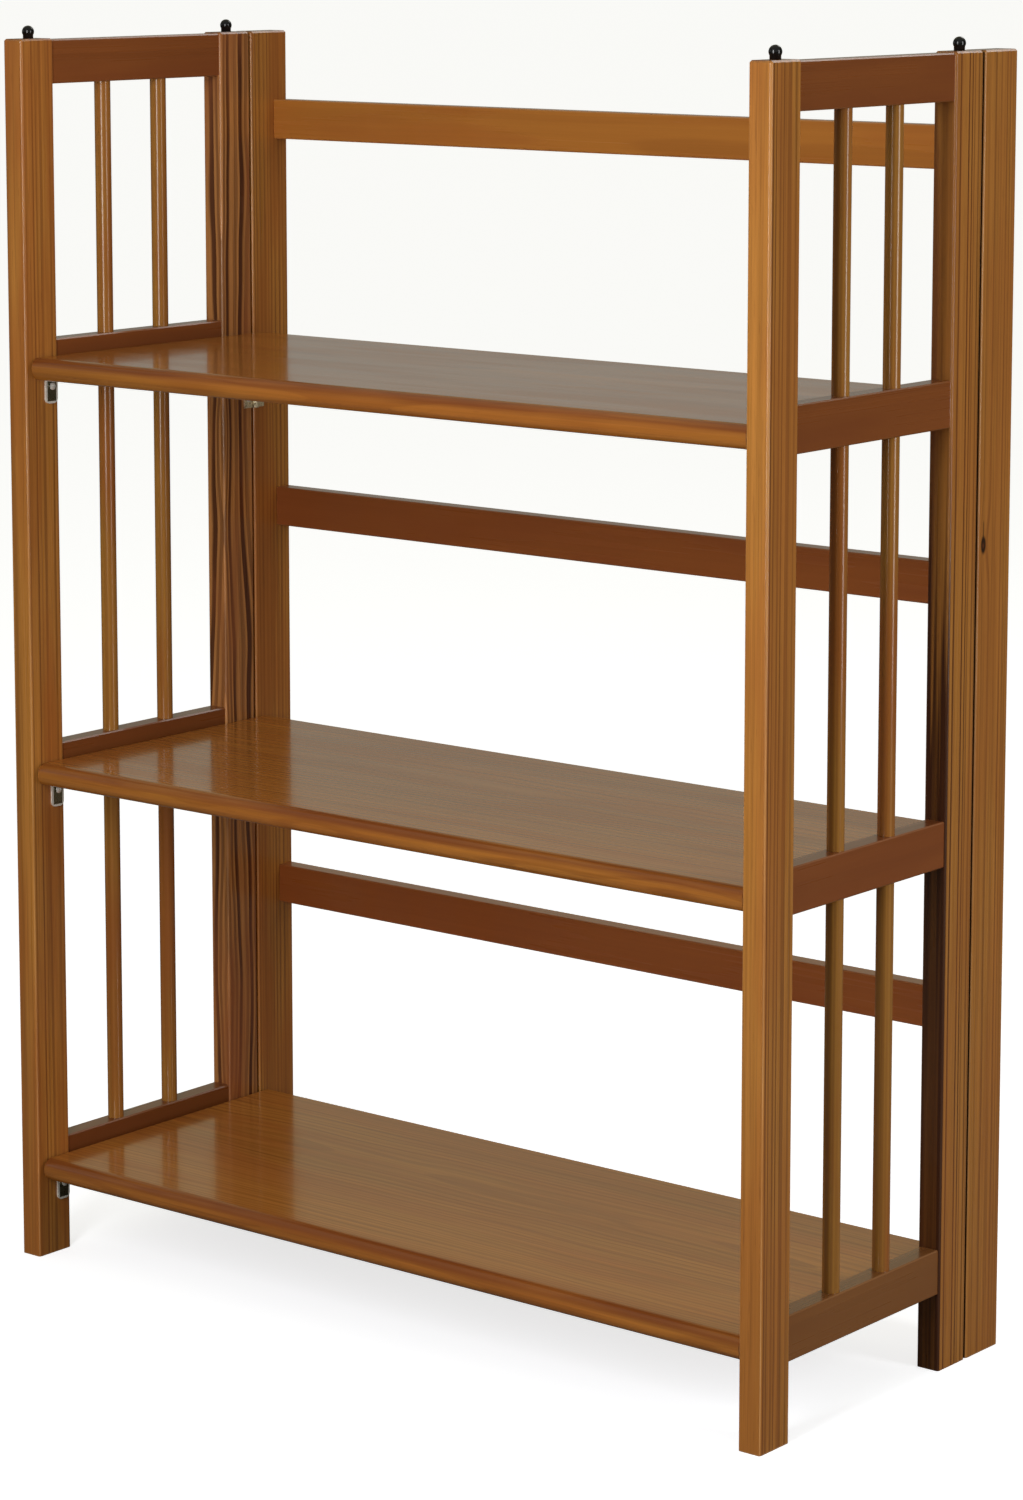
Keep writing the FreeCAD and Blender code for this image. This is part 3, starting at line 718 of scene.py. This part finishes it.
def makeWearAndHighlightGroup(look):
    # handling marks for the small hardware: tarnish clouds, fine brushing and pits, and a painted highlight
    # along the plate rims
    tree, take, made = openGroup("hardwareWearAndHighlight", "ShaderNodeTree", wearAndHighlightInputs, [
        ("Color", "Color"), ("Roughness", "Float"), ("Metallic", "Float"), ("Height", "Float")])
    place = take["Place"]
    cloud = noise(tree, scaled(tree, place, take["Cloud Scale"]), *look["clouds"])["Fac"]
    dull = smoothStep(tree, cloud, *look["dull"])
    brushed = noise(tree, vectorCalc(tree, "MULTIPLY", place, look["brushing"]), detail=2)["Fac"]
    grit = noise(tree, scaled(tree, place, look["gritScale"]), detail=1)["Fac"]
    colour = mixColour(tree, times(tree, dull, take["Tarnish Amount"]), take["Bright"], take["Tarnish"])
    # painted highlight: the rims are painted pale, standing in for the glint on the plates' rounded edges
    spread = splitUp(tree, place)
    fromMiddle = calc(tree, "ABSOLUTE", minus(tree, spread["Y"], take["Rim Middle"]))
    side = smoothStep(tree, minus(tree, fromMiddle, take["Rim Half"]), *look["sideRimHighlight"])
    above = calc(tree, "FLOORED_MODULO", minus(tree, spread["Z"], take["Rim Foot"]), take["Rim Step"])
    paintedRimHighlight = calc(tree, "MAXIMUM", side, smoothStep(tree, above, *look["footRimHighlight"]))
    colour = mixColour(tree, paintedRimHighlight, colour, take["Rim"])
    metallic = times(tree, take["Metal"], minus(tree, 1.0, times(tree, paintedRimHighlight, look["rimHighlightMetal"])))
    rough = plusShare(tree, take["Gloss"], dull, look["dullRough"])
    rough = plusShare(tree, rough, centred(tree, brushed), take["Brush"], clamp=True)
    brushHeight = times(tree, brushed, times(tree, take["Brush"], look["brushHeight"]))
    height = plusShare(tree, brushHeight, smoothStep(tree, grit, *look["pits"]), look["pitHeight"])
    feed(tree, made["Color"], colour)
    feed(tree, made["Roughness"], rough)
    feed(tree, made["Metallic"], metallic)
    feed(tree, made["Height"], height)
    layOut(tree)
    return tree


wearAndHighlightGroup = makeWearAndHighlightGroup(wearAndHighlightPattern)

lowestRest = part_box("bottom_shelf_left_rest")[0].z
hardware = {
    "restPlate": {
        "Bright": (0.300, 0.280, 0.190), "Tarnish": (0.140, 0.120, 0.075), "Tarnish Amount": 0.60,
        "Gloss": 0.24, "Brush": 0.10, "Metal": 1.0,
        # a painted highlight along the rims of the rest plates
        "Rim": (0.92, 0.90, 0.82), "Rim Middle": -0.1255, "Rim Half": 0.0065, "Rim Foot": lowestRest,
        "Rim Step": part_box("middle_shelf_left_rest")[0].z - lowestRest,
    },
    "hingePlate": {
        # painted glints: the bright spots between the dark clouds stand in for glints on the hinge leaves
        "Bright": (0.96, 0.84, 0.56), "Tarnish": (0.10, 0.065, 0.025), "Tarnish Amount": 1.0,
        "Gloss": 0.26, "Brush": 0.12, "Metal": 0.5, "Cloud Scale": 430.0,
    },
    "pivotPlate": {
        "Bright": (0.62, 0.62, 0.60), "Tarnish": (0.33, 0.31, 0.28), "Tarnish Amount": 0.45,
        "Gloss": 0.30, "Brush": 0.14, "Metal": 1.0,
    },
    "screwPlateAndGlint": {
        # the screw heads are pale and little metallic to paint in the glint of their domed heads: painted
        # highlight
        "Bright": (0.95, 0.93, 0.88), "Tarnish": (0.45, 0.41, 0.34), "Tarnish Amount": 0.35,
        "Gloss": 0.16, "Brush": 0.06, "Metal": 0.35,
    },
    "pinPlastic": {
        "Bright": (0.004, 0.004, 0.004), "Tarnish": (0.010, 0.010, 0.010), "Tarnish Amount": 0.60,
        "Gloss": 0.06, "Brush": 0.03, "Metal": 0.0,
    },
}
# the finish by how a node's name ends
dressed = {
    "_rest": "restPlate",
    "_leaf": "hingePlate",
    "_pivot": "pivotPlate",
    "stacking_pins": "pinPlastic",
}


def makeHardware(name, look):
    material, tree = startMaterial(name)
    place = addNode(tree, "ShaderNodeTexCoord").outputs["Object"]
    wearAndHighlight = addNode(tree, "ShaderNodeGroup", {"Place": place, **look}, node_tree=wearAndHighlightGroup)
    closeMaterial(tree, wearAndHighlight.outputs, {"Metallic": wearAndHighlight.outputs["Metallic"]})
    return material


hardwareMaterials = {name: makeHardware(name, look) for name, look in hardware.items()}
for nodeName in nodes:
    for ending, finish in dressed.items():
        if nodeName.endswith(ending):
            dress(nodeName, hardwareMaterials[finish])
print("hardware finished")


# pieces that geometry nodes set on loose points

def openPointTree(name, inputs):
    allInputs = [("Geometry", "Geometry", None), *inputs, ("Finish", "Material", None)]
    tree, take, made = openGroup(name, "GeometryNodeTree", allInputs, [("Geometry", "Geometry")])
    tree.is_modifier = True
    return tree, take, made


def closePointTree(tree, take, made, shape, **more):
    # one copy of the shape on each point, made real and given its finish
    onPoints = addNode(tree, "GeometryNodeInstanceOnPoints", {
        "Points": take["Geometry"], "Instance": shape, **more})
    real = addNode(tree, "GeometryNodeRealizeInstances", {0: onPoints.outputs[0]})
    finish = addNode(tree, "GeometryNodeSetMaterial", {
        "Geometry": real.outputs[0], "Material": take["Finish"]})
    feed(tree, made[0], finish.outputs[0])
    layOut(tree)


def moved(tree, geometry, height):
    inputs = {"Geometry": geometry, "Translation": joinUp(tree, Z=height)}
    return addNode(tree, "GeometryNodeTransform", inputs).outputs["Geometry"]


def growOnPoints(name, mesh, tree, values, finish):
    # runs the tree on the mesh's points and keeps what comes out as one plain mesh
    holder = addObject(name, mesh)
    modifier = holder.modifiers.new(tree.name, "NODES")
    modifier.node_group = tree
    ids = {item.name: item.identifier for item in tree.interface.items_tree if item.in_out == "INPUT"}
    for label, value in {**values, "Finish": finish}.items():
        modifier[ids[label]] = value
    graph = bpy.context.evaluated_depsgraph_get()
    plain = bpy.data.meshes.new_from_object(
        holder.evaluated_get(graph), preserve_all_data_layers=True, depsgraph=graph)
    holder.modifiers.clear()
    holder.data = plain
    plain.name = name
    return holder


# screws

hingeScrews = {
    "head": {
        "Head Radius": 0.0026,
        "Head Height": 0.0005,
        "Crown": 0.75,          # how far the head falls from its middle to its rim
        "Seat": 0.0003,
        "Slot Length": 0.0032,
        "Slot Width": 0.0006,
        "Slot Depth": 0.0004,
        "Seed": 3,
    },
    "plate": 0.0014,            # how thick the leaf is where they sit
    "fromEdge": 0.0045,
    "shares": (0.2, 0.8),       # how far up the leaf each one sits
}
restScrews = {
    "head": {
        "Head Radius": 0.0029,
        "Head Height": 0.0016,
        "Crown": 0.72,
        "Seat": 0.0003,
        "Slot Length": 0.0036,
        "Slot Width": 0.0008,
        "Slot Depth": 0.0009,
        "Seed": 8,
    },
    "fromMiddle": 0.3405,       # from the middle of the bookcase to the face they sit on
    "fromFoot": 0.0135,
}
screwDrum = {"Vertices": 28, "Side Segments": 1, "Fill Segments": 5}
screwWeld = 1e-6                # points closer than this become one


def makeScrewTree():
    tree, take, made = openPointTree("screwHeads", [
        ("Head Radius", "Float", 0.0026), ("Head Height", "Float", 0.0005), ("Crown", "Float", 0.75),
        ("Seat", "Float", 0.0003), ("Slot Length", "Float", 0.003), ("Slot Width", "Float", 0.0006),
        ("Slot Depth", "Float", 0.0004), ("Seed", "Int", 1)])
    # a drum whose upper cap is drawn into a dome
    drum = addNode(tree, "GeometryNodeMeshCylinder", {
        **screwDrum, "Radius": take["Head Radius"], "Depth": 1.0})
    where = addNode(tree, "GeometryNodeInputPosition").outputs[0]
    spread = splitUp(tree, where)
    across = vectorCalc(tree, "LENGTH", vectorCalc(tree, "MULTIPLY", where, (1, 1, 0)))
    share = calc(tree, "POWER", calc(tree, "DIVIDE", across, take["Head Radius"]), 2.0)
    dome = times(tree, take["Head Height"], minus(tree, 1.0, times(tree, share, take["Crown"])))
    upper = calc(tree, "GREATER_THAN", spread["Z"], 0.0)
    level = minus(tree, times(tree, upper, plus(tree, dome, take["Seat"])), take["Seat"])
    head = addNode(tree, "GeometryNodeSetPosition", {
        "Geometry": drum.outputs["Mesh"],
        "Position": joinUp(tree, X=spread["X"], Y=spread["Y"], Z=level),
    })
    # a cross slot cut into it
    slotted = addNode(tree, "GeometryNodeMeshBoolean", operation="DIFFERENCE", solver="EXACT")
    feed(tree, slotted.inputs["Mesh 1"], head.outputs["Geometry"])
    twiceDeep = times(tree, take["Slot Depth"], 2.0)
    for first, second in (("Slot Length", "Slot Width"), ("Slot Width", "Slot Length")):
        size = joinUp(tree, X=take[first], Y=take[second], Z=twiceDeep)
        blade = addNode(tree, "GeometryNodeMeshCube", {"Size": size})
        feed(tree, slotted.inputs["Mesh 2"], moved(tree, blade.outputs["Mesh"], take["Head Height"]))
    # each head faces out of its plate, turned by chance about its own axis
    spin = addNode(tree, "FunctionNodeRandomValue", {"Seed": take["Seed"]}, data_type="FLOAT")
    top = next(socket for socket in spin.inputs if socket.type == "VALUE" and socket.name == "Max")
    feed(tree, top, math.pi)
    angle = next(socket for socket in spin.outputs if socket.type == "VALUE")
    turned = addNode(tree, "FunctionNodeEulerToRotation", {0: joinUp(tree, Z=angle)})
    facing = addNode(tree, "GeometryNodeInputNamedAttribute", {"Name": "facing"}, data_type="FLOAT_VECTOR")
    aimed = addNode(tree, "FunctionNodeAlignRotationToVector", {
        "Rotation": turned.outputs[0], "Vector": facing.outputs["Attribute"]}, axis="Z")
    closePointTree(tree, take, made, slotted.outputs["Mesh"], Rotation=aimed.outputs[0])
    return tree


screwTree = makeScrewTree()


def driveScrews(name, spots, look, body):
    # spots are (point, facing) pairs; the heads come out as one plain mesh
    mesh = bpy.data.meshes.new(name)
    mesh.from_pydata([point for point, facing in spots], [], [])
    layer = mesh.attributes.new("facing", "FLOAT_VECTOR", "POINT")
    for item, (point, facing) in zip(layer.data, spots):
        item.vector = facing
    holder = growOnPoints(name, mesh, screwTree, look["head"], hardwareMaterials["screwPlateAndGlint"])
    shell = bmesh.new()
    shell.from_mesh(holder.data)
    bmesh.ops.remove_doubles(shell, verts=shell.verts, dist=screwWeld)
    bmesh.ops.recalc_face_normals(shell, faces=shell.faces)
    shell.to_mesh(holder.data)
    shell.free()
    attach(holder, body)


hingeSpots, restSpots = [], []
for nodeName in nodes:
    low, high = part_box(nodeName)
    inward = 1.0 if low.x < 0 else -1.0
    if nodeName.endswith("_leaf"):
        plate, fromEdge = hingeScrews["plate"], hingeScrews["fromEdge"]
        face = low.x + plate if inward > 0 else high.x - plate
        middle = low.y + fromEdge if "side_leaf" in nodeName else high.y - fromEdge
        for share in hingeScrews["shares"]:
            hingeSpots.append(((face, middle, low.z + (high.z - low.z) * share), (inward, 0, 0)))
    if nodeName.endswith("_rest"):
        spot = (restScrews["fromMiddle"] * -inward, (low.y + high.y) / 2, low.z + restScrews["fromFoot"])
        restSpots.append((spot, (inward, 0, 0)))
driveScrews("hingeScrewHeads", hingeSpots, hingeScrews, "frame")
driveScrews("restScrewHeads", restSpots, restScrews, "frame")
print("screws driven:", len(hingeSpots), "in the hinges,", len(restSpots), "in the shelf rests")


# stacking pins, turned smooth

turnedPins = {
    "shape": {
        "Ball Radius": 0.0047,
        "Neck Radius": 0.0040,
        "Rise": 0.010,          # above the top of the post
        "Depth": 0.018,         # let into it
        "Weld": 0.00002,
    },
    "around": 40,               # facets round a pin
    "rings": 24,
    "downwards": -0.999,        # a face that looks straight down stays flat
    "corners": 8,               # and so does one with this many corners or more
}


def makePinTree(look):
    tree, take, made = openPointTree("turnedPins", [
        ("Ball Radius", "Float", 0.0047), ("Neck Radius", "Float", 0.004), ("Rise", "Float", 0.010),
        ("Depth", "Float", 0.018), ("Weld", "Float", 0.00002)])
    ball = addNode(tree, "GeometryNodeMeshUVSphere", {
        "Segments": look["around"], "Rings": look["rings"], "Radius": take["Ball Radius"]})
    ballHeight = minus(tree, take["Rise"], take["Ball Radius"])
    # the neck runs from the foot of the hole to the middle of the ball
    reach = plus(tree, take["Depth"], ballHeight)
    neck = addNode(tree, "GeometryNodeMeshCylinder", {
        "Vertices": look["around"], "Radius": take["Neck Radius"], "Depth": reach})
    neckHeight = minus(tree, times(tree, reach, 0.5), take["Depth"])
    whole = addNode(tree, "GeometryNodeMeshBoolean", operation="UNION", solver="EXACT")
    feed(tree, whole.inputs["Mesh 2"], moved(tree, ball.outputs["Mesh"], ballHeight))
    feed(tree, whole.inputs["Mesh 2"], moved(tree, neck.outputs["Mesh"], neckHeight))
    # the join leaves slivers where neck and ball meet, so close points are welded
    welded = addNode(tree, "GeometryNodeMergeByDistance", {
        "Geometry": whole.outputs["Mesh"], "Distance": take["Weld"]})
    closePointTree(tree, take, made, welded.outputs["Geometry"])
    return tree


def turnPins(look):
    low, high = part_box("stacking_pins")
    radius = look["shape"]["Ball Radius"]
    side, foot = high.x - radius, high.z - look["shape"]["Rise"]
    depths = (low.y + radius, high.y - radius)
    mesh = bpy.data.meshes.new("turnedPins")
    mesh.from_pydata([(sign * side, y, foot) for sign in (-1, 1) for y in depths], [], [])
    tree = makePinTree(look)
    holder = growOnPoints("turnedPins", mesh, tree, look["shape"], hardwareMaterials["pinPlastic"])
    for face in holder.data.polygons:
        face.use_smooth = face.normal.z > look["downwards"] and len(face.vertices) < look["corners"]
    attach(holder, "frame")
    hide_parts("stacking_pins")


turnPins(turnedPins)
print("stacking pins turned")
